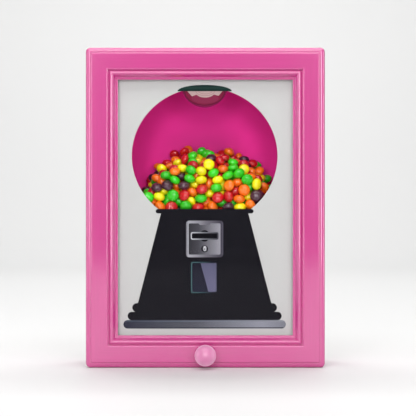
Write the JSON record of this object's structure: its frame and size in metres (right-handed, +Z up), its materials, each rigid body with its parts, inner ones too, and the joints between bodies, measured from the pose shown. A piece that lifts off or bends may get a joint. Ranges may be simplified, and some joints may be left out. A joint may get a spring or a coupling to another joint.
{
  "type": "candy dispenser",
  "caption": "Wall-hung framed candy dispenser: moulded frame, clear printed pane over a candy hopper, pull knob that drops a portion below, hinged filling lid on top.",
  "frame": {"origin": "centre of the resting face: half way across the width, half way between the moulding's face and the wall side", "axes": "+X to the viewer's right, +Y from the moulding's face towards the wall, +Z up"},
  "size_m": [0.254, 0.1103, 0.34],
  "materials": {
    "pink_lacquer": "gloss pink lacquer on wood",
    "pink_lining": "satin deep pink paint on board",
    "knob_lacquer": "high-gloss light pink lacquer on turned wood",
    "raw_wood": "sanded bare hardwood",
    "clear_acrylic": "clear, polished",
    "print_background": "off-white matte ink on film",
    "print_black": "black satin ink on film",
    "print_grey": "grey graduated ink on film",
    "print_metal": "graduated silver ink on film",
    "print_door": "blue-grey ink on film",
    "print_cap": "dark teal ink on film",
    "print_shine": "translucent tinted ink on film",
    "foam_tape": "black foam tape",
    "steel": "zinc-plated",
    "brass": "satin",
    "bumper": "soft translucent rubber",
    "candy_shell": "glossy sugar shells in red, orange, yellow, green and plum"
  },
  "bodies": {
    "cabinet": {"frame_rail_top": "pink_lacquer", "frame_rail_bottom": "pink_lacquer", "frame_rail_left": "pink_lacquer", "frame_rail_right": "pink_lacquer", "frame_corner_nails": "steel", "frame_dowels": "raw_wood", "front_pane": "clear_acrylic", "background_print": "print_background", "machine_body_print": "print_black", "base_plate_print": "print_grey", "cap_print": "print_cap", "globe_shine_print": "print_shine", "coin_plate_print": "print_metal", "chute_door_print": "print_door", "coin_slot_print": "print_metal", "coin_return_print": "print_metal", "pane_gasket": "foam_tape", "case_side_left": "pink_lacquer", "case_side_right": "pink_lacquer", "case_top": "pink_lacquer", "case_bottom": "pink_lacquer", "case_dowels": "raw_wood", "back_panel": "pink_lining", "back_panel_screws": "steel", "corner_blocks": "raw_wood", "hopper_ramp_left": "raw_wood", "hopper_ramp_right": "raw_wood", "ramp_cleat_left": "raw_wood", "ramp_cleat_right": "raw_wood", "throat_funnel": "raw_wood", "slide_guide_left": "raw_wood", "slide_guide_right": "raw_wood", "mechanism_screws": "steel", "rod_bush": "brass", "candy_fill": "candy_shell", "case_hinge_leaf_left": "brass", "case_hinge_leaf_right": "brass", "hinge_pins": "brass", "case_leaf_screws": "brass", "case_magnets": "steel", "hanger_strap_left": "steel", "hanger_strap_right": "steel", "hanger_screws": "steel", "wall_bumpers": "bumper"},
    "slide_unit": {"portion_slide": "raw_wood", "slide_insert": "brass", "pull_rod": "steel", "knob_insert": "brass", "knob": "knob_lacquer", "knob_washer": "steel", "candy_portion": "candy_shell"},
    "lid": {"fill_lid": "pink_lacquer", "lid_hinge_leaf_left": "brass", "lid_hinge_leaf_right": "brass", "lid_leaf_screws": "brass", "lid_magnets": "steel"},
    "ring_left": {"hanger_ring_left": "steel"},
    "ring_right": {"hanger_ring_right": "steel"}
  },
  "joints": [
    {"name": "knob_pull", "type": "slide", "parent": "cabinet", "child": "slide_unit", "axis": [0, -1, 0], "range_m": [0, 0.021]},
    {"name": "lid_hinge", "type": "hinge", "parent": "cabinet", "child": "lid", "pos_m": [0, 0.0328, 0.33855], "axis": [-1, 0, 0], "range_deg": [0, 100]},
    {"name": "hanger_left_swing", "type": "hinge", "parent": "cabinet", "child": "ring_left", "pos_m": [-0.117, 0.0419, 0.285], "axis": [1, 0, 0], "range_deg": [0, 180]},
    {"name": "hanger_right_swing", "type": "hinge", "parent": "cabinet", "child": "ring_right", "pos_m": [0.117, 0.0419, 0.285], "axis": [1, 0, 0], "range_deg": [0, 180]}
  ]
}
